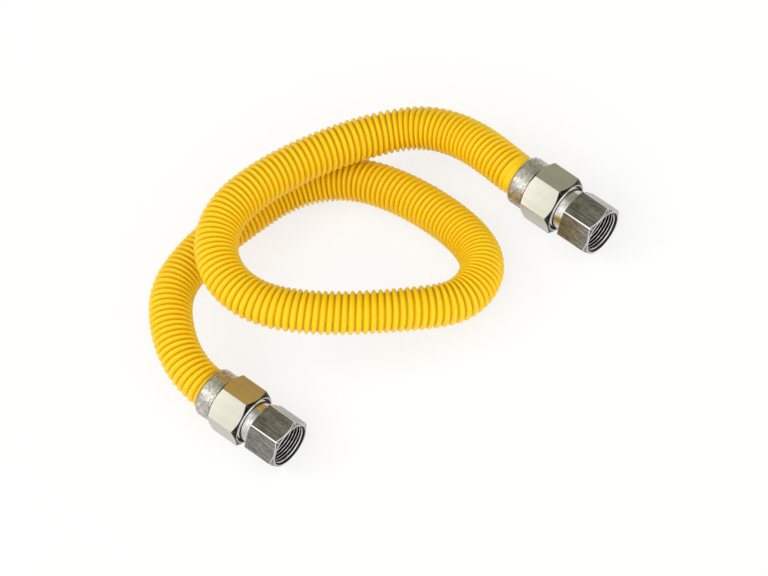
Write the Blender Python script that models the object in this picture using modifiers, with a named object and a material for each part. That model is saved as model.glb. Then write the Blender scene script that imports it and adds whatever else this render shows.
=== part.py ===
"""Flexible connector: a coated corrugated hose in a loose coil, with a nut and an adapter at each end."""

import math

import bmesh
import bpy
import numpy as np
from mathutils import Vector

COLLECTION = "flexible_connector"
CUTTERS = "cutters"

# Hose: crest and groove diameters over the coating, the bare cuffs that end in flares, and their bores
HOSE_CREST = 0.0266
HOSE_GROOVE = 0.0222
HOSE_BORE = 0.0190
BORE_DEPTH = 0.0148
HOSE_PITCH = 0.00374
CUFF_DIAMETER = 0.0214
CUFF_LENGTH = 0.0065
COAT_CLEARANCE = 0.0015
FLARE_DIAMETER = 0.0280
FLARE_WALL = 0.0014

# Flare nut: a round collar over the hose's end and a hexagon, with a plain bore where the thread runs
NUT_LENGTH = 0.0340
NUT_FLATS = 0.03334
NUT_HEX_LENGTH = 0.0223
NUT_CHAMFER = math.radians(32)
NUT_RELIEF = 0.0008
COLLAR_DIAMETER = 0.0316
COLLAR_ROUND = 0.0028
COLLAR_DEPTH = 0.0070

# Plain cylinders in place of the flare thread between nut and adapter
THREAD_DIAMETER = 0.0290
THREAD_LENGTH = 0.0150

# Adapter: nose, thread, neck, hexagon and a female pipe port
ADAPTER_FLATS = 0.03016
ADAPTER_HEX_LENGTH = 0.0218
ADAPTER_CHAMFER = math.radians(32)
ADAPTER_BACK_CHAMFER = math.radians(12)
ADAPTER_RELIEF = 0.00045
NECK_DIAMETER = 0.0264
NECK_LENGTH = 0.0064
PASSAGE_DIAMETER = 0.0175
PORT_DIAMETER = 0.0242
PORT_MOUTH = 0.0274
PORT_DEPTH = 0.0190
NOSE_TIP_WALL = 0.0012

# Clearances between neighbours
RUNNING_GAP = 0.0003
NOSE_GAP = 0.0008
THREAD_GAP = 0.0004
COLLAR_GAP = 0.0004
SEAT_SLANT = math.sqrt(2)

# Places: the mouths of the two collars, both ends' downward tilt, and each hexagon's turn
END_A = (-0.0659, -0.1070, 0.026045)
END_B = (0.0044, 0.1070, 0.026045)
END_TILT = math.radians(10)
NUT_TURN = math.radians(0)
ADAPTER_TURN = math.radians(25)

# The hose's middle line between the two collars, in millimetres
ROUTE_MM = [
    (-92, -101.3, 31.4), (-111.5, -88.5, 34.2), (-126.8, -70.4, 34), (-133.5, -48.4, 30),
    (-135.3, -25.8, 25), (-132.6, -3.2, 21), (-127.1, 19.5, 18), (-115.2, 39.8, 15.5),
    (-96.3, 55, 13.8), (-73.5, 62.1, 13.5), (-50.3, 64.6, 13.5), (-26.8, 64.1, 14.1),
    (-1.7, 59.9, 15.5), (19.5, 47.6, 18.3), (25.5, 25.7, 23), (15.6, 4.9, 32),
    (1.1, -13.2, 41), (-15.8, -29.8, 48), (-34.7, -44.6, 55), (-57, -54.6, 60),
    (-80.5, -55, 64), (-101.3, -43.5, 66), (-113.3, -22.3, 65), (-115.1, 0.8, 60),
    (-112.3, 23.3, 53), (-105.9, 45.9, 46), (-97.1, 67.5, 39), (-85.7, 87.5, 32),
    (-68.5, 102.5, 29), (-46.5, 109.1, 28.1), (-22.5, 109, 28.7),
]

# Fineness of the round shapes and of the middle line, and how far the cutters and joined solids overlap
SIDES_ROUND = 40
COLLAR_STEPS = 6
BEVEL_RESOLUTION = 4
FINE_STEP = 0.0005
MERGE = 0.00001
OVERLAP = 0.002

YELLOW = (0.95, 0.52, 0.01, 1.0)
PLATED = (0.55, 0.54, 0.49, 1.0)
COATING_ROUGHNESS = 0.28
PLATED_ROUGHNESS = 0.3
SHARP_ANGLE = math.radians(30)


def clear_scene():
    for item in list(bpy.data.objects):
        bpy.data.objects.remove(item, do_unlink=True)


def new_collection(name):
    collection = bpy.data.collections.new(name)
    bpy.context.scene.collection.children.link(collection)
    return collection


def make_material(name, colour, roughness, metallic):
    material = bpy.data.materials.new(name)
    material.use_nodes = True
    shader = material.node_tree.nodes["Principled BSDF"]
    shader.inputs["Base Color"].default_value = colour
    shader.inputs["Roughness"].default_value = roughness
    shader.inputs["Metallic"].default_value = metallic
    return material


def end_axis():
    """Unit vector along both fittings, out of their ports."""
    return Vector((math.cos(END_TILT), 0.0, -math.sin(END_TILT)))


def spline_tangents(points, spans, first_way, last_way):
    """Tangents of the cubic spline through the points, clamped to a direction at each end."""
    count = len(points)
    system = np.zeros((count, count))
    wanted = np.zeros((count, 3))
    system[0, 0] = system[-1, -1] = 1.0
    wanted[0], wanted[-1] = first_way, last_way
    for i in range(1, count - 1):
        before, after = spans[i - 1], spans[i]
        system[i, i - 1] = 1 / before
        system[i, i] = 2 / before + 2 / after
        system[i, i + 1] = 1 / after
        wanted[i] = 3 * ((points[i] - points[i - 1]) / before**2 + (points[i + 1] - points[i]) / after**2)
    return np.linalg.solve(system, wanted)


def smooth_route():
    """The hose's middle line as finely spaced points and their distances along it."""
    axis = np.array(end_axis())
    points = np.array([END_A, *[[value / 1000 for value in point] for point in ROUTE_MM], END_B])
    spans = np.linalg.norm(np.diff(points, axis=0), axis=1)
    tangents = spline_tangents(points, spans, -axis, axis)
    pieces = []
    for start, end, way_in, way_out, span in zip(points, points[1:], tangents, tangents[1:], spans):
        t = np.linspace(0, 1, max(2, int(span / FINE_STEP)), endpoint=False)[:, None]
        pieces.append((1 + 2 * t) * (1 - t)**2 * start + t**2 * (3 - 2 * t) * end
                      + span * t * (1 - t)**2 * way_in - span * t**2 * (1 - t) * way_out)
    line = np.vstack(pieces + [points[-1:]])
    along = np.concatenate(([0.0], np.cumsum(np.linalg.norm(np.diff(line, axis=0), axis=1))))
    return line, along


def place_on_route(route, distance):
    """Point at a distance from the first collar's mouth, straight on beyond either mouth."""
    line, along = route
    inside = min(max(distance, 0.0), along[-1])
    point = np.array([np.interp(inside, along, line[:, i]) for i in range(3)])
    return point + np.array(end_axis()) * abs(distance - inside)


def swept_tube(name, stations, route, collection):
    """Closed tube along the route, from (distance, radius) stations."""
    curve = bpy.data.curves.new(name, "CURVE")
    curve.dimensions = "3D"
    curve.bevel_depth = 1.0
    curve.bevel_resolution = BEVEL_RESOLUTION
    curve.use_fill_caps = True
    spline = curve.splines.new("POLY")
    spline.points.add(len(stations) - 1)
    for point, (distance, radius) in zip(spline.points, stations):
        point.co = (*place_on_route(route, distance), 1.0)
        point.radius = radius
    sweep = bpy.data.objects.new(name + "_sweep", curve)
    collection.objects.link(sweep)
    bpy.context.view_layer.update()
    depsgraph = bpy.context.evaluated_depsgraph_get()
    mesh = bpy.data.meshes.new_from_object(sweep.evaluated_get(depsgraph))
    bpy.data.objects.remove(sweep, do_unlink=True)
    shape = bmesh.new()
    shape.from_mesh(mesh)
    bmesh.ops.remove_doubles(shape, verts=shape.verts, dist=MERGE)
    bmesh.ops.recalc_face_normals(shape, faces=shape.faces)
    shape.to_mesh(mesh)
    shape.free()
    tube = bpy.data.objects.new(name, mesh)
    collection.objects.link(tube)
    return tube


def turned_object(name, profile, collection):
    """Solid of revolution about local Z from (radius, height) points, listed top to bottom."""
    mesh = bpy.data.meshes.new(name)
    vertices = [(radius, 0.0, height) for radius, height in profile]
    mesh.from_pydata(vertices, [(i, i + 1) for i in range(len(vertices) - 1)], [])
    turned = bpy.data.objects.new(name, mesh)
    collection.objects.link(turned)
    screw = turned.modifiers.new("Turn", "SCREW")
    screw.steps = screw.render_steps = SIDES_ROUND
    screw.use_merge_vertices = True
    screw.merge_threshold = MERGE
    return turned


def hexagon_object(name, flats, low, high, collection):
    """Hexagonal prism about local Z, with flats facing local X and corners facing local Y."""
    shape = bmesh.new()
    radius = flats / math.sqrt(3)
    depth = high - low
    bmesh.ops.create_cone(shape, cap_ends=True, segments=6, radius1=radius, radius2=radius, depth=depth)
    bmesh.ops.translate(shape, verts=shape.verts, vec=(0, 0, (low + high) / 2))
    mesh = bpy.data.meshes.new(name)
    shape.to_mesh(mesh)
    shape.free()
    prism = bpy.data.objects.new(name, mesh)
    collection.objects.link(prism)
    return prism


def combine(target, tool, operation):
    modifier = target.modifiers.new(operation.title(), "BOOLEAN")
    modifier.operation = operation
    modifier.object = tool


def as_tool(item, parent, turn):
    """Hides a helper solid and places it with the piece that it shapes."""
    item.hide_render = True
    item.display_type = "WIRE"
    item.parent = parent
    item.rotation_euler.z = turn
    return item


def chamfered_ends(flats, relief, low, high, low_angle, high_angle):
    """Profile that rounds off a hexagon's corners between two end faces."""
    corner = flats / math.sqrt(3) + relief
    rim = flats / 2 - relief
    drop = corner - rim
    return [
        (0.0, high), (rim, high), (corner, high - drop * math.tan(high_angle)),
        (corner, low + drop * math.tan(low_angle)), (rim, low), (0.0, low),
    ]


def flare_start():
    """Height in the nut at which the bare cuff begins to flare."""
    return COLLAR_DEPTH - COAT_CLEARANCE + CUFF_LENGTH


def flare_end():
    return flare_start() + (FLARE_DIAMETER - CUFF_DIAMETER) / 2


def seat_height(radius, shift):
    """Height of a 45 degree seat at a radius, shifted along the axis from the flare's outer face."""
    return flare_start() + (radius - CUFF_DIAMETER / 2) + shift


def nut_bore_profile():
    """Cutter for the nut: collar counterbore, cuff bore, 45 degree seat and thread bore."""
    counterbore = HOSE_CREST / 2 + COLLAR_GAP
    cuff_bore = CUFF_DIAMETER / 2 + RUNNING_GAP
    thread_bore = THREAD_DIAMETER / 2
    shift = -RUNNING_GAP * SEAT_SLANT
    return [
        (0.0, NUT_LENGTH + OVERLAP), (thread_bore + NUT_RELIEF + OVERLAP, NUT_LENGTH + OVERLAP),
        (thread_bore, NUT_LENGTH - NUT_RELIEF), (thread_bore, seat_height(thread_bore, shift)),
        (cuff_bore, seat_height(cuff_bore, shift)), (cuff_bore, COLLAR_DEPTH),
        (counterbore, COLLAR_DEPTH), (counterbore, -OVERLAP), (0.0, -OVERLAP),
    ]


def collar_profile():
    """Round collar with a rounded mouth, running up into the hexagon."""
    outer = COLLAR_DIAMETER / 2
    top = NUT_LENGTH - NUT_HEX_LENGTH + OVERLAP
    angles = [math.pi / 2 * i / COLLAR_STEPS for i in range(COLLAR_STEPS + 1)]
    mouth = [(outer - COLLAR_ROUND * (1 - math.cos(angle)), COLLAR_ROUND * (1 - math.sin(angle)))
             for angle in angles]
    return [(0.0, top), (outer, top)] + mouth + [(0.0, 0.0)]


def build_nut(name, parent, parts, tools, material):
    low = NUT_LENGTH - NUT_HEX_LENGTH
    nut = hexagon_object(name, NUT_FLATS, low, NUT_LENGTH, parts)
    nut.parent = parent
    nut.rotation_euler.z = NUT_TURN
    profile = chamfered_ends(NUT_FLATS, NUT_RELIEF, low, NUT_LENGTH, NUT_CHAMFER, NUT_CHAMFER)
    corners = turned_object(name + "_corners", profile, tools)
    collar = turned_object(name + "_collar", collar_profile(), tools)
    bore = turned_object(name + "_bore", nut_bore_profile(), tools)
    for tool, operation in ((corners, "INTERSECT"), (collar, "UNION"), (bore, "DIFFERENCE")):
        combine(nut, as_tool(tool, parent, NUT_TURN), operation)
    nut.data.materials.append(material)
    return nut


def adapter_back():
    """Height of the back face of the adapter's hexagon."""
    return NUT_LENGTH + NECK_LENGTH


def nose_height(radius):
    """Height of the adapter's 45 degree nose at a radius."""
    return seat_height(radius, FLARE_WALL + NOSE_GAP * SEAT_SLANT)


def stem_profile():
    """Neck, threaded length and 45 degree nose, from inside the hexagon to the nose's tip."""
    thread = THREAD_DIAMETER / 2 - THREAD_GAP
    neck = NECK_DIAMETER / 2
    tip = PASSAGE_DIAMETER / 2 + NOSE_TIP_WALL
    thread_low = nose_height(thread)
    thread_high = thread_low + THREAD_LENGTH
    top = adapter_back() + OVERLAP
    return [
        (0.0, top), (neck, top), (neck, thread_high + thread - neck),
        (thread, thread_high), (thread, thread_low), (tip, nose_height(tip)), (0.0, nose_height(tip)),
    ]


def port_profile():
    """Cutter for the adapter: countersunk pipe port and the narrower passage behind it."""
    front = adapter_back() + ADAPTER_HEX_LENGTH
    mouth, port, passage = PORT_MOUTH / 2, PORT_DIAMETER / 2, PASSAGE_DIAMETER / 2
    start = nose_height(passage) - OVERLAP
    return [
        (0.0, front + OVERLAP), (mouth + OVERLAP, front + OVERLAP), (port, front - (mouth - port)),
        (port, front - PORT_DEPTH), (passage, front - PORT_DEPTH - (port - passage) / 2),
        (passage, start), (0.0, start),
    ]


def build_adapter(name, parent, parts, tools, material):
    low = adapter_back()
    high = low + ADAPTER_HEX_LENGTH
    adapter = hexagon_object(name, ADAPTER_FLATS, low, high, parts)
    adapter.parent = parent
    adapter.rotation_euler.z = ADAPTER_TURN
    profile = chamfered_ends(
        ADAPTER_FLATS, ADAPTER_RELIEF, low, high, ADAPTER_BACK_CHAMFER, ADAPTER_CHAMFER)
    corners = turned_object(name + "_corners", profile, tools)
    stem = turned_object(name + "_stem", stem_profile(), tools)
    port = turned_object(name + "_port", port_profile(), tools)
    for tool, operation in ((corners, "INTERSECT"), (stem, "UNION"), (port, "DIFFERENCE")):
        combine(adapter, as_tool(tool, parent, ADAPTER_TURN), operation)
    adapter.data.materials.append(material)
    return adapter


def hose_stations(length):
    """Outer stations of the hose: flare, bare cuff, then a crest and a groove for each corrugation."""
    coat = COLLAR_DEPTH - COAT_CLEARANCE
    crest, groove, cuff = HOSE_CREST / 2, HOSE_GROOVE / 2, CUFF_DIAMETER / 2
    first = [(-flare_end(), FLARE_DIAMETER / 2), (-flare_start(), cuff), (-coat, cuff)]
    span = length + 2 * coat
    count = round(span / HOSE_PITCH)
    pitch = span / count
    waves = []
    for i in range(count):
        waves.append((-coat + pitch * (i + 0.25), crest))
        waves.append((-coat + pitch * (i + 0.75), groove))
    last = [(length - distance, radius) for distance, radius in reversed(first)]
    return first + waves + last


def hose_bore_profile():
    """Cutter for one end of the hose: the flare's inner cone and a blind bore behind it."""
    bore = HOSE_BORE / 2
    mouth = FLARE_DIAMETER / 2 - FLARE_WALL
    tip = flare_end()
    return [
        (0.0, tip + OVERLAP), (mouth + OVERLAP, tip + OVERLAP), (bore, tip - (mouth - bore)),
        (bore, tip - BORE_DEPTH), (0.0, tip - BORE_DEPTH),
    ]


def build_hose(parts, material):
    route = smooth_route()
    hose = swept_tube("corrugated_hose", hose_stations(route[1][-1]), route, parts)
    hose.data.materials.clear()
    hose.data.materials.append(material)
    return hose


def build_end(letter, place, hose, parts, tools, material):
    """Nut, adapter and hose bore of one end, on an empty whose Z axis runs out of the port."""
    empty = bpy.data.objects.new("end_" + letter, None)
    empty.location = place
    empty.rotation_euler = end_axis().to_track_quat("Z", "Y").to_euler()
    parts.objects.link(empty)
    bore = as_tool(turned_object("hose_bore_" + letter, hose_bore_profile(), tools), empty, 0.0)
    combine(hose, bore, "DIFFERENCE")
    for build, name in ((build_nut, "flare_nut_"), (build_adapter, "adapter_")):
        piece = build(name + letter, empty, parts, tools, material)
        piece.data.shade_smooth()
        piece.data.set_sharp_from_angle(angle=SHARP_ANGLE)


def main():
    clear_scene()
    parts = new_collection(COLLECTION)
    tools = new_collection(CUTTERS)
    coating = make_material("coating", YELLOW, COATING_ROUGHNESS, 0.0)
    plated = make_material("plated_steel", PLATED, PLATED_ROUGHNESS, 1.0)
    hose = build_hose(parts, coating)
    build_end("a", END_A, hose, parts, tools, plated)
    build_end("b", END_B, hose, parts, tools, plated)


main()
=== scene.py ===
"""Looks of the flexible connector: coated corrugated hose, two flare nuts and two pipe adapters."""

import math

import bmesh
import bpy
import numpy as np
from mathutils import Matrix, Vector


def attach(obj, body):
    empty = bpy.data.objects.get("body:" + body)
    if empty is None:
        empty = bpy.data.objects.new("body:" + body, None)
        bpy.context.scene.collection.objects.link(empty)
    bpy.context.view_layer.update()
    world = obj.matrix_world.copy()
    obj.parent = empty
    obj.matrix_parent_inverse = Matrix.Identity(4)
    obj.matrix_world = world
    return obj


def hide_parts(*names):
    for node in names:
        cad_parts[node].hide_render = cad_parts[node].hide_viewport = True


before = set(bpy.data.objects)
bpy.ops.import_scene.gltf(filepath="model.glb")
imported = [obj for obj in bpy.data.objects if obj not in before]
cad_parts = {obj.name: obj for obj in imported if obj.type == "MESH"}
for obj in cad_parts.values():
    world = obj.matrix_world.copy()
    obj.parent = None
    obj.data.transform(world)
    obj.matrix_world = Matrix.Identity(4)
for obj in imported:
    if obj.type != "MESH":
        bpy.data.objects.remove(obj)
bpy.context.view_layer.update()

MM = 0.001

# Sizes and places in millimetres, angles in radians
HOSE_CREST = 26.6
HOSE_GROOVE = 21.6
HOSE_BORE = 19.0
BORE_DEPTH = 14.8
CUFF_DIAMETER = 21.4
CUFF_LENGTH = 6.5
COAT_CLEARANCE = 1.5
COAT_THICKNESS = 0.4
COAT_EDGE = 0.02
FLARE_DIAMETER = 28.0
FLARE_WALL = 1.4

NUT_LENGTH = 34.0
NUT_FLATS = 33.34
NUT_HEX_LENGTH = 22.3
NUT_CHAMFER = math.radians(32)
NUT_RELIEF = 0.8
COLLAR_DIAMETER = 31.6
COLLAR_ROUND = 2.8
COLLAR_DEPTH = 7.0

THREAD_DIAMETER = 29.0
THREAD_PITCH = 25.4 / 14
THREAD_LENGTH = 15.0
THREAD_HEIGHT = 1.05

ADAPTER_FLATS = 30.16
ADAPTER_HEX_LENGTH = 21.8
ADAPTER_CHAMFER = math.radians(32)
ADAPTER_BACK_CHAMFER = math.radians(12)
ADAPTER_RELIEF = 0.45
NECK_DIAMETER = 26.4
NECK_LENGTH = 6.4
PASSAGE_DIAMETER = 17.5
PORT_DIAMETER = 24.2
PORT_MOUTH = 27.4
PORT_DEPTH = 19.0
NOSE_TIP_WALL = 1.2

RUNNING_GAP = 0.3
NOSE_GAP = 0.8
THREAD_GAP = 0.4
COLLAR_GAP = 0.4
SEAT_ANGLE = math.radians(45)

END_A = (-65.9, -107.0, 26.045)
END_B = (4.4, 107.0, 26.045)
END_TILT = math.radians(10)
NUT_TURN = math.radians(0)
ADAPTER_TURN = math.radians(25)

# The hose's middle line between the two collars
ROUTE = [
    (-92, -101.3, 31.4), (-111.5, -88.5, 34.2), (-126.8, -70.4, 34), (-133.5, -48.4, 30),
    (-135.3, -25.8, 25), (-132.6, -3.2, 21), (-127.1, 19.5, 18), (-115.2, 39.8, 15.5),
    (-96.3, 55, 13.8), (-73.5, 62.1, 13.5), (-50.3, 64.6, 13.5), (-26.8, 64.1, 14.1),
    (-1.7, 59.9, 15.5), (19.5, 47.6, 18.3), (25.5, 25.7, 23), (15.6, 4.9, 32),
    (1.1, -13.2, 41), (-15.8, -29.8, 48), (-34.7, -44.6, 55), (-57, -54.6, 60),
    (-80.5, -55, 64), (-101.3, -43.5, 66), (-113.3, -22.3, 65), (-115.1, 0.8, 60),
    (-112.3, 23.3, 53), (-105.9, 45.9, 46), (-97.1, 67.5, 39), (-85.7, 87.5, 32),
    (-68.5, 102.5, 29), (-46.5, 109.1, 28.1), (-22.5, 109, 28.7),
]

# Spacing of the corrugations at distances along the hose: it closes up and opens with the bends
SPACING = [
    (0, 4.1), (20, 4.05), (30, 3.7), (50, 3.6), (80, 3.5), (135, 3.45), (190, 3.5), (205, 3.75),
    (225, 3.85), (240, 3.75), (270, 3.9), (285, 3.8), (300, 3.6), (310, 3.35), (320, 3.1), (335, 2.8),
    (345, 2.7), (355, 3.1), (370, 3.8), (380, 4.2), (390, 4.35), (410, 4.0), (430, 4.35), (460, 3.9),
    (485, 4.1), (505, 3.7), (530, 3.5), (550, 3.3), (575, 3.65), (595, 4.0), (615, 4.1), (640, 3.95),
    (655, 3.85), (675, 4.15), (690, 3.65), (720, 3.75), (740, 3.6), (760, 3.4), (778, 3.45),
]

# Beside the collars the corrugation fades into smooth bands: widths, then their height and tone from 0 to 1
SMOOTH_END = 2.0
SMOOTH_FADE = 5.0
START_FADE = 1.5
BAND_LEVEL = 0.8
BAND_TONE = 0.9

# Form and mesh of the hose: sides round it, rows over one corrugation, and steps along the middle line
HOSE_SIDES = 48
WAVE_SHARES = (0.0, 0.11, 0.22, 0.35, 0.5, 0.65, 0.78, 0.89)
CREST_BREADTH = 0.55
FINE_STEP = 0.5
TANGENT_STEP = 0.6
PHASE_STEPS = 6000
SEAM_DISTANCE = 0.0001

# Mesh of the fittings: columns round a hexagon, in degrees, and rings over an edge and a shoulder
HEX_SECTOR = math.pi / 3
CORNER_COLUMNS = (-2.4, -1.6, -0.8, 0.0, 0.8, 1.6, 2.4)
FLAT_COLUMNS = 11
FLAT_REACH = 27.6
EDGE_STEPS = (0.0, 0.33, 0.67, 1.0)
COLLAR_STEPS = 6
SHARP_ANGLE = math.radians(38)
TINY = 1e-6

# Rounding of the fittings' edges, and the largest share of a stretch that it takes
CORNER_ROUND = 0.7
FINE_EDGE = 0.1
BORE_EDGE = 0.12
NOSE_EDGE = 0.15
PORT_EDGE = 0.2
NECK_EDGE = 0.2
NUT_RIM_EDGE = 0.25
NUT_HEX_EDGE = 0.3
ADAPTER_RIM_EDGE = 0.3
ADAPTER_HEX_EDGE = 0.35
NECK_FILLET = 0.5
COLLAR_FILLET = 0.6
EDGE_SHARE = 0.45

# Smaller forms of the fittings: the collar's shoulder and lip, and the cone between passage and port
COLLAR_SWEEP = math.radians(72)
COLLAR_LIP = 0.05
PORT_CONE = 0.5

# Threads: rows to a pitch, run-out, form in shares of the height, where each begins, and the port's taper
THREAD_ROWS = 14
THREAD_RUN_OUT = 1.2
THREAD_FLOOR = 0.05
THREAD_FLATS = (0.06, 0.94)
NUT_THREAD_START = 0.3
PORT_THREAD_START = 0.6
ADAPTER_THREAD_START = 0.1
PORT_TAPER = 0.02

# Wear and painted highlights of corners and edges: degrees beside a corner where they are full and gone,
# and how fast they fall
RUBBED_GLINT_CORNER = (0.8, 1.6)
WEAR_AND_GLINT_FALL = 3
EDGE_WEAR_AND_GLINT = 0.8

# Material slots of the hose and of the fittings; the fittings' last slot holds the painted shade of the
# nut's chamfers
COAT, STEEL = range(2)
FORGED, HEX, TURNED, THREAD, SHADED_EDGE = range(5)

# Values shared by the metals, and the threads' colour from root to crest: painted shade in the roots,
# painted highlights on the crests
NOISE_RANGE = (0.3, 0.7)
METAL_NOISE = {"detail": 5.0, "roughness": 0.65}
BLOTCH_TONE = 0.35
WEAR_POLISH = -0.2
FILM_ROUGHNESS = 0.12
GRAIN_DEPTH = 0.1
THREAD_ROUGHNESS = (0.25, 0.45)
THREAD_SHADE_AND_HIGHLIGHT_STOPS = [
    (0.0, (0.01, 0.01, 0.009)), (0.66, (0.02, 0.02, 0.018)),
    (0.86, (0.7, 0.69, 0.66)), (1.0, (0.95, 0.94, 0.92)),
]

# The coat's colour from groove to crest, deeper orange towards the groove and darkened there as painted
# shade, and the colour that makes it a little uneven
COAT_GROOVE_SHADE_STOPS = [
    (0.0, (0.48, 0.23, 0.001)), (0.35, (0.83, 0.50, 0.002)),
    (0.7, (0.93, 0.635, 0.006)), (1.0, (0.90, 0.585, 0.011)),
]
COAT_UNEVEN = (0.91, 0.54, 0.002)
COAT_PATCHES = (0.0, 0.35)
COAT_ROUGHNESS = (0.3, 0.46)
COAT_DIMPLES = 0.12

# Camera: its place and clipping in metres, its lens and sensor in millimetres
CAMERA_PLACE = (2.49409, -1.18152, 3.90087)
CAMERA_RIGHT = (0.7254, 0.6297, -0.2780)
CAMERA_UP = (-0.4426, 0.7360, 0.5122)
CAMERA_CLIP = (0.01, 20.0)
SENSOR_WIDTH = 36.0
LENS = 375.0

# Studio in metres: a white floor, and a surround with its brightness at places from -1 to 1 on an axis
FLOOR_SIZE = 8.0
FLOOR_COLOUR = (0.95, 0.95, 0.95, 1)
FLOOR_GLOW = 0.75
SKY_AXIS = (0.65, -0.65, 0.43)
SKY_PEAK = 1.4
SKY_WARMTH = (0.0, 0.03, 0.4)
SKY = [(-1.0, 0.42), (-0.15, 0.42), (0.05, 0.56), (0.3, 1.1), (0.5, 1.4), (1.0, 1.4)]
LAMP_SIZE = 1.2


def end_axis():
    """Unit vector along both fittings, out of their ports."""
    return np.array((math.cos(END_TILT), 0.0, -math.sin(END_TILT)))


def spline_tangents(points, spans, first_way, last_way):
    """Tangents of the cubic spline through the points, clamped to a direction at each end."""
    count = len(points)
    system = np.zeros((count, count))
    wanted = np.zeros((count, 3))
    system[0, 0] = system[-1, -1] = 1.0
    wanted[0], wanted[-1] = first_way, last_way
    for i in range(1, count - 1):
        before, after = spans[i - 1], spans[i]
        system[i, i - 1] = 1 / before
        system[i, i] = 2 / before + 2 / after
        system[i, i + 1] = 1 / after
        wanted[i] = 3 * ((points[i] - points[i - 1]) / before**2 + (points[i + 1] - points[i]) / after**2)
    return np.linalg.solve(system, wanted)


def smooth_route():
    """The hose's middle line as finely spaced points and their distances along it."""
    points = np.array([END_A, *ROUTE, END_B], float)
    spans = np.linalg.norm(np.diff(points, axis=0), axis=1)
    tangents = spline_tangents(points, spans, -end_axis(), end_axis())
    pieces = []
    for start, end, way_in, way_out, span in zip(points, points[1:], tangents, tangents[1:], spans):
        t = np.linspace(0, 1, max(2, int(span / FINE_STEP)), endpoint=False)[:, None]
        pieces.append((1 + 2 * t) * (1 - t)**2 * start + t**2 * (3 - 2 * t) * end
                      + span * t * (1 - t)**2 * way_in - span * t**2 * (1 - t) * way_out)
    line = np.vstack(pieces + [points[-1:]])
    along = np.concatenate(([0.0], np.cumsum(np.linalg.norm(np.diff(line, axis=0), axis=1))))
    return line, along


def place_on_route(route, distances):
    """Points at distances from the first collar's mouth, straight on beyond either mouth."""
    line, along = route
    inside = np.clip(distances, 0.0, along[-1])
    points = np.stack([np.interp(inside, along, line[:, i]) for i in range(3)], axis=1)
    return points + np.abs(distances - inside)[:, None] * end_axis()


def carried_sides(route, distances):
    """Two cross directions at rising distances, carried along without twist."""
    ways = place_on_route(route, distances + TANGENT_STEP) - place_on_route(route, distances - TANGENT_STEP)
    ways /= np.linalg.norm(ways, axis=1)[:, None]
    normal = np.cross(ways[0], (0, 1, 0))
    normals = []
    for way in ways:
        normal = normal - way * (normal @ way)
        normal /= np.linalg.norm(normal)
        normals.append(normal)
    normals = np.array(normals)
    return normals, np.cross(ways, normals)


def frames_on_route(route, distances):
    """Points and two cross directions for a grid of distances."""
    finest = np.arange(distances.min() - FINE_STEP, distances.max() + 2 * FINE_STEP, FINE_STEP)
    flat = distances.ravel()
    sides = []
    for ways in carried_sides(route, finest):
        way = np.stack([np.interp(flat, finest, ways[:, i]) for i in range(3)], axis=1)
        sides.append((way / np.linalg.norm(way, axis=1)[:, None]).reshape(*distances.shape, 3))
    return place_on_route(route, flat).reshape(*distances.shape, 3), *sides


def grid_mesh(name, rings, row_materials, values, closed, matrix=None):
    """Mesh of a grid of points in millimetres. A closed one joins the last row and column to the first."""
    rings = np.asarray(rings, float)
    rows, columns = rings.shape[:2]
    index = np.arange(rows * columns).reshape(rows, columns)
    beside, above, across = (np.roll(index, -1, axis=axis) for axis in (1, 0, (0, 1)))
    quads = np.stack([index, beside, across, above], axis=2)
    if not closed:
        quads = quads[:-1, :-1]
    mesh = bpy.data.meshes.new(name)
    mesh.from_pydata((rings.reshape(-1, 3) * MM).tolist(), [], quads.reshape(-1, 4).tolist())
    per_face = np.repeat(np.asarray(row_materials, np.int32)[:quads.shape[0]], quads.shape[1])
    mesh.polygons.foreach_set("material_index", per_face)
    for label, numbers in values.items():
        layer = mesh.attributes.new(label, "FLOAT", "POINT")
        layer.data.foreach_set("value", np.asarray(numbers, np.float32).ravel())
    mesh.update()
    mesh.shade_smooth()
    made = bpy.data.objects.new(name, mesh)
    bpy.context.scene.collection.objects.link(made)
    if matrix is not None:
        made.matrix_world = matrix
    return made


def merge_points(made):
    """Joins the points that share one place."""
    shape = bmesh.new()
    shape.from_mesh(made.data)
    bmesh.ops.remove_doubles(shape, verts=shape.verts, dist=SEAM_DISTANCE * MM)
    shape.to_mesh(made.data)
    shape.free()


def coat_reach():
    """How far the coat goes into a collar."""
    return COLLAR_DEPTH - COAT_CLEARANCE


def flare_start():
    """Depth of the flare's beginning behind a collar's mouth."""
    return coat_reach() + CUFF_LENGTH


def flare_end():
    """Depth of the flare's lip behind a collar's mouth."""
    return flare_start() + (FLARE_DIAMETER - CUFF_DIAMETER) / 2


def crest_places(length):
    """Phase of the corrugations against distance, with a whole number of them on the hose."""
    fine = np.linspace(-coat_reach(), length + coat_reach(), PHASE_STEPS)
    places, spacing = np.array(SPACING, float).T
    density = 1 / np.interp(fine, places, spacing)
    phase = np.concatenate(([0.0], np.cumsum((density[1:] + density[:-1]) / 2 * np.diff(fine))))
    count = round(phase[-1])
    return fine, phase * count / phase[-1], count


def wave(shares):
    """Heights from groove 0 to crest 1, with round crests and slightly narrower round grooves."""
    return (np.sin(math.pi * shares)**2)**CREST_BREADTH


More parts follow.
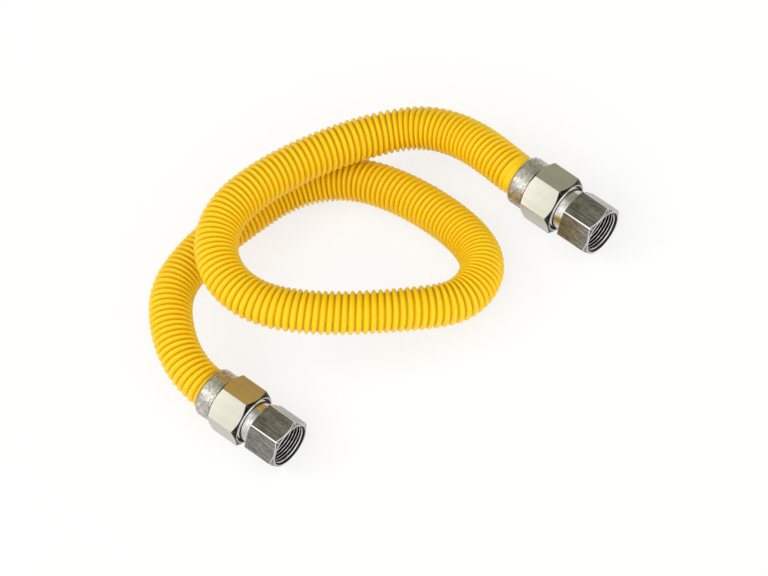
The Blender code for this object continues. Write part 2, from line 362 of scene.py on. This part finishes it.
def coat_rows(length, turns):
    """Rows of the corrugated coat: one left-hand screw, which starts and ends inside the collars."""
    fine, phase, count = crest_places(length)
    crest, groove = HOSE_CREST / 2, HOSE_GROOVE / 2
    rows = []
    for number in range(-1, count + 1):
        for share in WAVE_SHARES:
            if not -0.5 <= number + share <= count + 0.5:
                continue
            turned = np.clip(number + share + 0.5 - turns, 0, count)
            distances = np.interp(turned, phase, fine)
            heights = wave(np.round((turned + turns - 0.5) % 1.0, 9))
            from_start = (distances + coat_reach()) / START_FADE
            from_end = (length - SMOOTH_END - distances) / SMOOTH_FADE
            full = np.clip(np.minimum(from_start, from_end), 0, 1)
            level = heights * full + BAND_LEVEL * (1 - full)
            tone = level * full + BAND_TONE * (1 - full)
            rows.append((distances, groove + (crest - groove) * level, tone, COAT))
    return rows


def cuff_rows():
    """Rows of the bare steel end, from the flare's lip to the edge of the coat."""
    cuff = CUFF_DIAMETER / 2
    return [(-flare_end(), FLARE_DIAMETER / 2, 0, STEEL), (-flare_start(), cuff, 0, STEEL),
            (-coat_reach() - COAT_EDGE, cuff, 0, STEEL), (-coat_reach(), cuff + COAT_THICKNESS, 0, COAT)]


def bore_rows():
    """Rows of the blind bore, from the middle of its end to the flare's lip."""
    bore = HOSE_BORE / 2
    mouth = FLARE_DIAMETER / 2 - FLARE_WALL
    deep, cone = flare_end() - BORE_DEPTH, flare_end() - (mouth - bore)
    return [(-deep, 0.0, 0, STEEL), (-deep, bore, 0, STEEL),
            (-cone, bore, 0, STEEL), (-flare_end(), mouth, 0, STEEL)]


def mirrored(rows, length):
    """The same rows at the hose's other end."""
    return [(length - distance, radius, tone, look) for distance, radius, tone, look in reversed(rows)]


def hose_profile(length, turns):
    """Rows of the hose's skin from bore to bore: distance, radius, tone and look of what follows."""
    near = bore_rows() + cuff_rows()
    far = mirrored(near, length)
    # Past the far edge of the coat the steel is bare
    far[0] = (*far[0][:3], STEEL)
    return near + coat_rows(length, turns) + far


def build_hose(materials):
    """The hose, the points of its middle line and its length from lip to lip, both in metres."""
    route = smooth_route()
    length = route[1][-1]
    turns = np.linspace(0, 1, HOSE_SIDES + 1)
    rows = hose_profile(length, turns)
    columns = [np.array([np.broadcast_to(row[i], turns.shape) for row in rows]) for i in range(3)]
    distances, radii, tones = columns
    points, normals, binormals = frames_on_route(route, distances)
    angles = turns[None, :, None] * 2 * math.pi
    rings = points + radii[..., None] * (np.cos(angles) * normals + np.sin(angles) * binormals)
    hose = grid_mesh("coated_hose", rings, [row[3] for row in rows], {"crest": tones}, closed=False)
    merge_points(hose)
    for material in materials:
        hose.data.materials.append(material)
    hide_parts("corrugated_hose")
    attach(hose, "hose")
    middles = np.unique(np.round(distances[:, HOSE_SIDES // 2], 6))
    return hose, place_on_route(route, middles) * MM, (length + 2 * flare_end()) * MM


def corner_closeness(angles, turn):
    """1 at a hexagon's corners, falling to 0 a little to either side."""
    beside = np.degrees(np.abs((angles - turn) % HEX_SECTOR - HEX_SECTOR / 2))
    return np.interp(beside, RUBBED_GLINT_CORNER, (1.0, 0.0))


def column_angles(turn):
    """Angles round a hexagon's axis, close together at the corners."""
    flat = np.radians(np.linspace(-FLAT_REACH, FLAT_REACH, FLAT_COLUMNS + 2)[1:-1])
    corner = np.radians(CORNER_COLUMNS) + HEX_SECTOR / 2
    sector = np.concatenate((flat, corner))
    return np.concatenate([turn + HEX_SECTOR * i + sector for i in range(6)])


def hexagon_radius(angles, turn, flats):
    """Radius of a hexagon with rounded corners at each angle."""
    half = HEX_SECTOR / 2
    within = (angles - turn + half) % HEX_SECTOR - half
    sharp = flats / 2 / np.cos(within)
    corner = half - np.abs(within)
    centre = (flats / 2 - CORNER_ROUND) / math.cos(half)
    half_chord = np.sqrt(np.maximum(CORNER_ROUND**2 - (centre * np.sin(corner))**2, 0))
    rounded = centre * np.cos(corner) + half_chord
    reach = math.atan2(CORNER_ROUND * math.sin(half), centre + CORNER_ROUND * math.cos(half))
    return np.where(corner < reach, np.minimum(rounded, sharp), sharp)


def softened(section, columns):
    """Rings of a section's corners with each edge rounded off, their looks and how much rubbed edge and
    painted highlight each ring gets.

    A corner has a radius, a height, how far its edge is rounded off and the look of what follows.
    """
    corners = [np.stack([np.broadcast_to(radius, columns), np.broadcast_to(height, columns)], axis=1)
               for radius, height, *_ in section]
    rows, owners, rubbed_glint = [], [], []
    for i, (_, _, rounding, owner) in enumerate(section):
        here = corners[i]
        if rounding <= 0:
            rows.append(here)
            owners.append(owner)
            rubbed_glint.append(0.0)
            continue
        before, after = corners[i - 1] - here, corners[(i + 1) % len(corners)] - here
        for arm in (before, after):
            lengths = np.maximum(np.linalg.norm(arm, axis=1), TINY)
            arm *= np.minimum(rounding / lengths, EDGE_SHARE)[:, None]
        for t in EDGE_STEPS:
            rows.append(here + (1 - t)**2 * before + t**2 * after)
            owners.append(section[i - 1][3] if t < 0.5 else owner)
            rubbed_glint.append(EDGE_WEAR_AND_GLINT if 0 < t < 1 else 0.0)
    return rows, owners, rubbed_glint


def thread_rows(angles, low, high, base, height, taper=0.0):
    """Corners of a right-hand thread between two heights, outside or inside a base radius."""
    count = max(2, int(abs(high - low) / THREAD_PITCH * THREAD_ROWS))
    rows = []
    for z in np.linspace(low, high, count):
        turn = z / THREAD_PITCH - angles / (2 * math.pi)
        away = np.abs((turn % 1.0) * 2 - 1)
        ridge = np.clip(THREAD_FLOOR + (1 - THREAD_FLOOR) * away, *THREAD_FLATS)
        depth = min(1.0, abs(z - low) / THREAD_RUN_OUT, abs(high - z) / THREAD_RUN_OUT)
        rows.append((base + taper * (z - low) + height * ridge * depth, z, 0, THREAD))
    return rows


def crest_heights(rows, owners, male_below):
    """Height of a thread's points from root 0 to crest 1, with male threads below one height only."""
    heights = np.zeros((len(rows), len(rows[0])))
    threaded = [i for i, owner in enumerate(owners) if owner == THREAD]
    for i in threaded:
        near = [rows[j][:, 0] for j in threaded if abs(j - i) <= THREAD_ROWS]
        low, high = np.min(near), np.max(near)
        outwards = (rows[i][:, 0] - low) / max(high - low, TINY)
        heights[i] = outwards if rows[i][0, 1] < male_below else 1 - outwards
    return heights


def turned_piece(name, section, angles, turn, matrix, materials, male_below):
    """A fitting: its section swept round the axis, with its corners and edges marked for wear and painted
    highlights.
    """
    rows, owners, rubbed_glint = softened(section, len(angles))
    radii = np.array([row[:, 0] for row in rows])
    depth = radii.max(axis=1) - radii.min(axis=1)
    hexagonal = (depth / depth.max())[:, None]**WEAR_AND_GLINT_FALL
    wear_and_glint = np.maximum(np.array(rubbed_glint)[:, None], hexagonal * corner_closeness(angles, turn)[None])
    crests = crest_heights(rows, owners, male_below)
    cosines, sines = np.cos(angles), np.sin(angles)
    rings = [np.stack([row[:, 0] * cosines, row[:, 0] * sines, row[:, 1]], axis=1) for row in rows]
    made = grid_mesh(name, rings, owners, {"crest": crests, "wear_and_glint": wear_and_glint}, closed=True, matrix=matrix)
    for material in materials:
        made.data.materials.append(material)
    made.data.set_sharp_from_angle(angle=SHARP_ANGLE)
    return made


def seat_height(radius, shift):
    """Height of a 45 degree seat at a radius, shifted along the axis from the flare's outer face."""
    return flare_start() + (radius - CUFF_DIAMETER / 2) + shift


def nut_section(angles):
    """The nut at each angle, from the seat out through the thread, over the hexagon and collar and back."""
    flat = hexagon_radius(angles, NUT_TURN, NUT_FLATS)
    low = NUT_LENGTH - NUT_HEX_LENGTH
    rim = NUT_FLATS / 2 - NUT_RELIEF
    chamfer = (flat - rim) * math.tan(NUT_CHAMFER)
    bore = THREAD_DIAMETER / 2
    cuff_bore = CUFF_DIAMETER / 2 + RUNNING_GAP
    counterbore = HOSE_CREST / 2 + COLLAR_GAP
    shift = -RUNNING_GAP / math.sin(SEAT_ANGLE)
    collar = COLLAR_DIAMETER / 2
    seat = seat_height(bore, shift)
    shoulder = []
    for step in range(1, COLLAR_STEPS + 1):
        angle = COLLAR_SWEEP * step / COLLAR_STEPS
        inwards, height = COLLAR_ROUND * (1 - math.cos(angle)), COLLAR_ROUND * (1 - math.sin(angle))
        shoulder.append((collar - inwards, height, 0, FORGED))
    return [
        (cuff_bore, seat_height(cuff_bore, shift), 0, TURNED), (bore, seat, 0, THREAD),
        *thread_rows(angles, seat + NUT_THREAD_START, NUT_LENGTH - NUT_RELIEF, bore, -THREAD_HEIGHT),
        (bore + NUT_RELIEF, NUT_LENGTH, BORE_EDGE, TURNED), (rim, NUT_LENGTH, NUT_RIM_EDGE, SHADED_EDGE),
        (flat, NUT_LENGTH - chamfer, NUT_HEX_EDGE, HEX), (flat, low + chamfer, NUT_HEX_EDGE, SHADED_EDGE),
        (collar, low, COLLAR_FILLET, FORGED), (collar, COLLAR_ROUND, 0, FORGED), *shoulder,
        (counterbore, COLLAR_LIP, BORE_EDGE, TURNED), (counterbore, COLLAR_DEPTH, 0, TURNED),
        (cuff_bore, COLLAR_DEPTH, FINE_EDGE, TURNED),
    ]


def adapter_section(angles):
    """The adapter at each angle, from the nose through the passage and port, over the hexagon and back."""
    back = NUT_LENGTH + NECK_LENGTH
    front = back + ADAPTER_HEX_LENGTH
    flat = hexagon_radius(angles, ADAPTER_TURN, ADAPTER_FLATS)
    rim = ADAPTER_FLATS / 2 - ADAPTER_RELIEF
    mouth, port, passage = PORT_MOUTH / 2, PORT_DIAMETER / 2, PASSAGE_DIAMETER / 2
    thread = THREAD_DIAMETER / 2 - THREAD_GAP
    neck = NECK_DIAMETER / 2
    tip = passage + NOSE_TIP_WALL
    shift = FLARE_WALL + NOSE_GAP / math.sin(SEAT_ANGLE)
    nose = seat_height(tip, shift)
    low = seat_height(thread, shift)
    high = low + THREAD_LENGTH
    deep = front - PORT_DEPTH
    inner = thread_rows(angles, deep + PORT_THREAD_START, front - (mouth - port), port,
                        THREAD_HEIGHT, PORT_TAPER)
    outer = thread_rows(angles, high - ADAPTER_THREAD_START, low + ADAPTER_THREAD_START, thread,
                        -THREAD_HEIGHT)
    return [
        (tip, nose, NOSE_EDGE, TURNED), (passage, nose, NOSE_EDGE, TURNED),
        (passage, deep - (port - passage) * PORT_CONE, PORT_EDGE, TURNED), (port, deep, 0, THREAD), *inner,
        (mouth, front, PORT_EDGE, TURNED), (rim, front, ADAPTER_RIM_EDGE, HEX),
        (flat, front - (flat - rim) * math.tan(ADAPTER_CHAMFER), ADAPTER_HEX_EDGE, HEX),
        (flat, back + (flat - rim) * math.tan(ADAPTER_BACK_CHAMFER), ADAPTER_HEX_EDGE, HEX),
        (rim, back, ADAPTER_RIM_EDGE, TURNED), (neck, back, NECK_FILLET, TURNED),
        (neck, high + thread - neck, NECK_EDGE, TURNED), (thread, high, FINE_EDGE, THREAD), *outer,
        (thread, low, FINE_EDGE, TURNED),
    ]


def end_matrix(place):
    """Placement of a fitting: its axis leaves the middle of a collar's mouth along the end's direction."""
    turn = Vector(end_axis()).to_track_quat("Z", "Y").to_matrix().to_4x4()
    return Matrix.Translation(Vector(place) * MM) @ turn


def build_end(letter, place, looks):
    """The nut and the adapter of one end."""
    matrix = end_matrix(place)
    angles = column_angles(NUT_TURN)
    metals = [looks[name] for name in ("forged", "nut_hex", "turned", "thread", "edge")]
    nut = turned_piece("plated_nut_" + letter, nut_section(angles), angles, NUT_TURN,
                       matrix, metals, male_below=0.0)
    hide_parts("flare_nut_" + letter)
    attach(nut, "nut_" + letter)
    angles = column_angles(ADAPTER_TURN)
    metals = [looks[name] for name in ("forged", "adapter_hex", "turned", "thread", "edge")]
    adapter = turned_piece("plated_adapter_" + letter, adapter_section(angles), angles, ADAPTER_TURN,
                           matrix, metals, male_below=NUT_LENGTH)
    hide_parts("adapter_" + letter)
    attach(adapter, "adapter_" + letter)
    return nut, adapter


def new_material(name):
    """A new material, its nodes and its shader."""
    material = bpy.data.materials.new(name)
    material.use_nodes = True
    tree = material.node_tree
    return material, tree, tree.nodes["Principled BSDF"]


def math_node(tree, operation, *inputs):
    """Result of one calculation with sockets and numbers."""
    node = tree.nodes.new("ShaderNodeMath")
    node.operation = operation
    for socket, value in zip(node.inputs, inputs):
        if isinstance(value, bpy.types.NodeSocket):
            tree.links.new(value, socket)
        else:
            socket.default_value = value
    return node.outputs[0]


def colour_ramp(tree, factor, stops):
    """Colours at places from 0 to 1."""
    ramp = tree.nodes.new("ShaderNodeValToRGB")
    elements = ramp.color_ramp.elements
    while len(elements) < len(stops):
        elements.new(0.5)
    for element, (place, colour) in zip(elements, stops):
        element.position = place
        element.color = (*colour, 1.0)
    tree.links.new(factor, ramp.inputs["Fac"])
    return ramp.outputs["Color"]


def noise(tree, scale, stretch=(1, 1, 1), detail=3.0, roughness=0.5):
    """Noise on the piece's own coordinates, finer along the axes that are stretched more."""
    coordinates = tree.nodes.new("ShaderNodeTexCoord")
    mapping = tree.nodes.new("ShaderNodeMapping")
    mapping.inputs["Scale"].default_value = stretch
    tree.links.new(coordinates.outputs["Object"], mapping.inputs["Vector"])
    texture = tree.nodes.new("ShaderNodeTexNoise")
    texture.inputs["Scale"].default_value = scale
    texture.inputs["Detail"].default_value = detail
    texture.inputs["Roughness"].default_value = roughness
    tree.links.new(mapping.outputs["Vector"], texture.inputs["Vector"])
    return texture.outputs["Fac"]


def range_of(tree, value, low, high, source=NOISE_RANGE):
    """The value spread from its own range to the range between two numbers."""
    spread = tree.nodes.new("ShaderNodeMapRange")
    spread.inputs["From Min"].default_value, spread.inputs["From Max"].default_value = source
    spread.inputs["To Min"].default_value = low
    spread.inputs["To Max"].default_value = high
    tree.links.new(value, spread.inputs["Value"])
    return spread.outputs["Result"]


def mixed(tree, factor, first, second):
    """Mix of two colours, each a socket or three numbers."""
    mix = tree.nodes.new("ShaderNodeMix")
    mix.data_type = "RGBA"
    tree.links.new(factor, mix.inputs["Factor"])
    for socket, colour in ((mix.inputs["A"], first), (mix.inputs["B"], second)):
        if isinstance(colour, bpy.types.NodeSocket):
            tree.links.new(colour, socket)
        else:
            socket.default_value = (*colour, 1.0)
    return mix.outputs["Result"]


def bump(tree, shader, height, strength, depth):
    """Fine relief of a surface, with its depth in millimetres."""
    node = tree.nodes.new("ShaderNodeBump")
    node.inputs["Strength"].default_value = strength
    node.inputs["Distance"].default_value = depth * MM
    tree.links.new(height, node.inputs["Height"])
    tree.links.new(node.outputs["Normal"], shader.inputs["Normal"])


def attribute(tree, name):
    """Number stored with the mesh, such as a corrugation's or a thread's height."""
    node = tree.nodes.new("ShaderNodeAttribute")
    node.attribute_name = name
    return node.outputs["Fac"]


def coating_material():
    """Golden yellow coat: deeper orange in the grooves and darkened there as painted shade, a little uneven
    in hue and gloss.
    """
    material, tree, shader = new_material("coating_yellow")
    # Painted shade: the ramp darkens the coat towards the grooves
    colour = colour_ramp(tree, attribute(tree, "crest"), COAT_GROOVE_SHADE_STOPS)
    patches = range_of(tree, noise(tree, scale=60, detail=2.0), *COAT_PATCHES)
    tree.links.new(mixed(tree, patches, colour, COAT_UNEVEN), shader.inputs["Base Color"])
    tree.links.new(range_of(tree, noise(tree, scale=900), *COAT_ROUGHNESS), shader.inputs["Roughness"])
    shader.inputs["Specular IOR Level"].default_value = 0.22
    shader.inputs["Coat Weight"].default_value = 0.05
    shader.inputs["Coat Roughness"].default_value = 0.15
    bump(tree, shader, noise(tree, scale=1400, detail=2.0), strength=0.2, depth=COAT_DIMPLES)
    return material


def metal_material(name, dark, light, roughness, grain, stretch, relief, mottle, spot=180, rubbed_glint=None,
                   film=0.0):
    """Plated steel with a grain on its own axes, blotches and, where given, an oil film and rubbed edges
    lightened with painted highlights.
    """
    material, tree, shader = new_material(name)
    lines = noise(tree, grain, stretch, **METAL_NOISE)
    blotches = noise(tree, spot, **METAL_NOISE)
    colour = mixed(tree, range_of(tree, lines, 0.0, 1.0), dark, light)
    blotch = tuple(channel * BLOTCH_TONE for channel in dark)
    colour = mixed(tree, range_of(tree, blotches, 0.0, mottle), colour, blotch)
    rough = range_of(tree, blotches, *roughness)
    if rubbed_glint is not None:
        wear_and_glint = attribute(tree, "wear_and_glint")
        # Rubbed edges and corners lightened towards a bright colour: wear and painted highlights
        colour = mixed(tree, wear_and_glint, colour, rubbed_glint)
        rough = math_node(tree, "MULTIPLY_ADD", wear_and_glint, WEAR_POLISH, rough)
    tree.links.new(colour, shader.inputs["Base Color"])
    shader.inputs["Metallic"].default_value = 1.0
    tree.links.new(rough, shader.inputs["Roughness"])
    shader.inputs["Coat Weight"].default_value = film
    shader.inputs["Coat Roughness"].default_value = FILM_ROUGHNESS
    bump(tree, shader, lines, relief, GRAIN_DEPTH)
    return material


def thread_material():
    """Threads: near black with painted shade in the roots, bright with painted highlights on the crests."""
    material, tree, shader = new_material("threaded_steel")
    tree.links.new(colour_ramp(tree, attribute(tree, "crest"), THREAD_SHADE_AND_HIGHLIGHT_STOPS), shader.inputs["Base Color"])
    shader.inputs["Metallic"].default_value = 1.0
    tree.links.new(range_of(tree, noise(tree, scale=600), *THREAD_ROUGHNESS), shader.inputs["Roughness"])
    return material


def make_looks():
    """Every material of the object by its name."""
    return {
        "coating": coating_material(),
        "forged": metal_material(
            "forged_collar", (0.38, 0.35, 0.29), (0.98, 0.96, 0.92), roughness=(0.34, 0.52), grain=700,
            stretch=(1, 1, 1), relief=1.0, mottle=0.7, spot=330),
        "nut_hex": metal_material(
            "nut_flats", (0.54, 0.52, 0.45), (0.61, 0.59, 0.51), roughness=(0.36, 0.44), grain=500,
            stretch=(1, 1, 0.08), relief=0.08, mottle=0.06),
        # The bright colour on the adapter's rubbed edges and corners is wear with painted highlights
        "adapter_hex": metal_material(
            "adapter_flats", (0.07, 0.068, 0.06), (0.36, 0.35, 0.31), roughness=(0.36, 0.48), grain=900,
            stretch=(1, 1, 0.12), relief=0.4, mottle=0.45, spot=420, rubbed_glint=(0.9, 0.89, 0.86), film=0.6),
        "turned": metal_material(
            "turned_steel", (0.50, 0.49, 0.46), (0.95, 0.94, 0.92), roughness=(0.16, 0.28), grain=900,
            stretch=(0.05, 0.05, 1), relief=0.15, mottle=0.5, spot=300),
        # Near black edge: painted shade and painted dark reflections on the nut's rim and back chamfers,
        # with lighter painted highlights on its rounded edges
        "edge": metal_material(
            "painted_shade_edge", (0.004, 0.004, 0.004), (0.06, 0.052, 0.042), roughness=(0.25, 0.4), grain=500,
            stretch=(1, 1, 1), relief=0.5, mottle=0.6, rubbed_glint=(0.12, 0.115, 0.10)),
        "thread": thread_material(),
    }


def make_camera():
    """Camera with a long lens, above the side that the ports open to."""
    data = bpy.data.cameras.new("camera")
    data.sensor_width = SENSOR_WIDTH
    data.lens = LENS
    data.clip_start, data.clip_end = CAMERA_CLIP
    camera = bpy.data.objects.new("camera", data)
    right, up = Vector(CAMERA_RIGHT).normalized(), Vector(CAMERA_UP).normalized()
    back = right.cross(up).normalized()
    up = back.cross(right)
    camera.matrix_world = Matrix.Translation(CAMERA_PLACE) @ Matrix((right, up, back)).transposed().to_4x4()
    bpy.context.scene.collection.objects.link(camera)
    bpy.context.scene.camera = camera


def make_lamp(name, toward, distance, power):
    """Square soft lamp in a direction from the middle of the object, facing it."""
    data = bpy.data.lights.new(name, "AREA")
    data.shape = "SQUARE"
    data.size = LAMP_SIZE
    data.energy = power
    lamp = bpy.data.objects.new(name, data)
    way = Vector(toward).normalized()
    facing = way.to_track_quat("Z", "Y").to_matrix().to_4x4()
    lamp.matrix_world = Matrix.Translation(way * distance) @ facing
    bpy.context.scene.collection.objects.link(lamp)


def seen_directly(tree):
    """1 for rays from the camera, from a mirror-like reflection or through glass."""
    path = tree.nodes.new("ShaderNodeLightPath")
    plain = math_node(tree, "MAXIMUM", path.outputs["Is Camera Ray"], path.outputs["Is Glossy Ray"])
    return math_node(tree, "MAXIMUM", plain, path.outputs["Is Transmission Ray"])


def make_floor():
    """Plain white floor that keeps a soft shadow."""
    mesh = bpy.data.meshes.new("floor")
    corners = [(x * FLOOR_SIZE, y * FLOOR_SIZE, 0) for x, y in ((-1, -1), (1, -1), (1, 1), (-1, 1))]
    mesh.from_pydata(corners, [], [(0, 1, 2, 3)])
    floor = bpy.data.objects.new("floor", mesh)
    bpy.context.scene.collection.objects.link(floor)
    material, tree, shader = new_material("floor_white")
    shader.inputs["Base Color"].default_value = FLOOR_COLOUR
    shader.inputs["Roughness"].default_value = 0.9
    shader.inputs["Specular IOR Level"].default_value = 0.1
    glow = tree.nodes.new("ShaderNodeEmission")
    mix = tree.nodes.new("ShaderNodeMixShader")
    tree.links.new(math_node(tree, "MULTIPLY", seen_directly(tree), FLOOR_GLOW), mix.inputs["Fac"])
    tree.links.new(shader.outputs["BSDF"], mix.inputs[1])
    tree.links.new(glow.outputs["Emission"], mix.inputs[2])
    tree.links.new(mix.outputs["Shader"], tree.nodes["Material Output"].inputs["Surface"])
    mesh.materials.append(material)


def sky_stop(place, level):
    """A stop of the surround's ramp: dimmer places are warmer."""
    share = level / SKY_PEAK
    return (place + 1) / 2, tuple(share * (1 - (1 - share) * warmth) for warmth in SKY_WARMTH)


def make_world():
    """Soft studio surround: bright overhead and on one side, dim on the opposite side."""
    world = bpy.data.worlds.new("studio")
    world.use_nodes = True
    tree = world.node_tree
    coordinates = tree.nodes.new("ShaderNodeTexCoord")
    along = tree.nodes.new("ShaderNodeVectorMath")
    along.operation = "DOT_PRODUCT"
    tree.links.new(coordinates.outputs["Generated"], along.inputs[0])
    along.inputs[1].default_value = Vector(SKY_AXIS).normalized()
    spread = range_of(tree, along.outputs["Value"], 0.0, 1.0, source=(-1.0, 1.0))
    colour = colour_ramp(tree, spread, [sky_stop(place, level) for place, level in SKY])
    background = tree.nodes["Background"]
    tree.links.new(colour, background.inputs["Color"])
    background.inputs["Strength"].default_value = SKY_PEAK
    bpy.context.scene.world = world


make_camera()
looks = make_looks()
hose, path, hose_length = build_hose([looks["coating"], looks["turned"]])
fittings = [*build_end("a", END_A, looks), *build_end("b", END_B, looks)]
make_floor()
make_world()
make_lamp("key", toward=(-0.62, -0.42, 0.66), distance=3.2, power=17)
make_lamp("side", toward=(0.85, -0.1, 0.5), distance=3.6, power=2)
bpy.context.scene.view_settings.view_transform = "Standard"
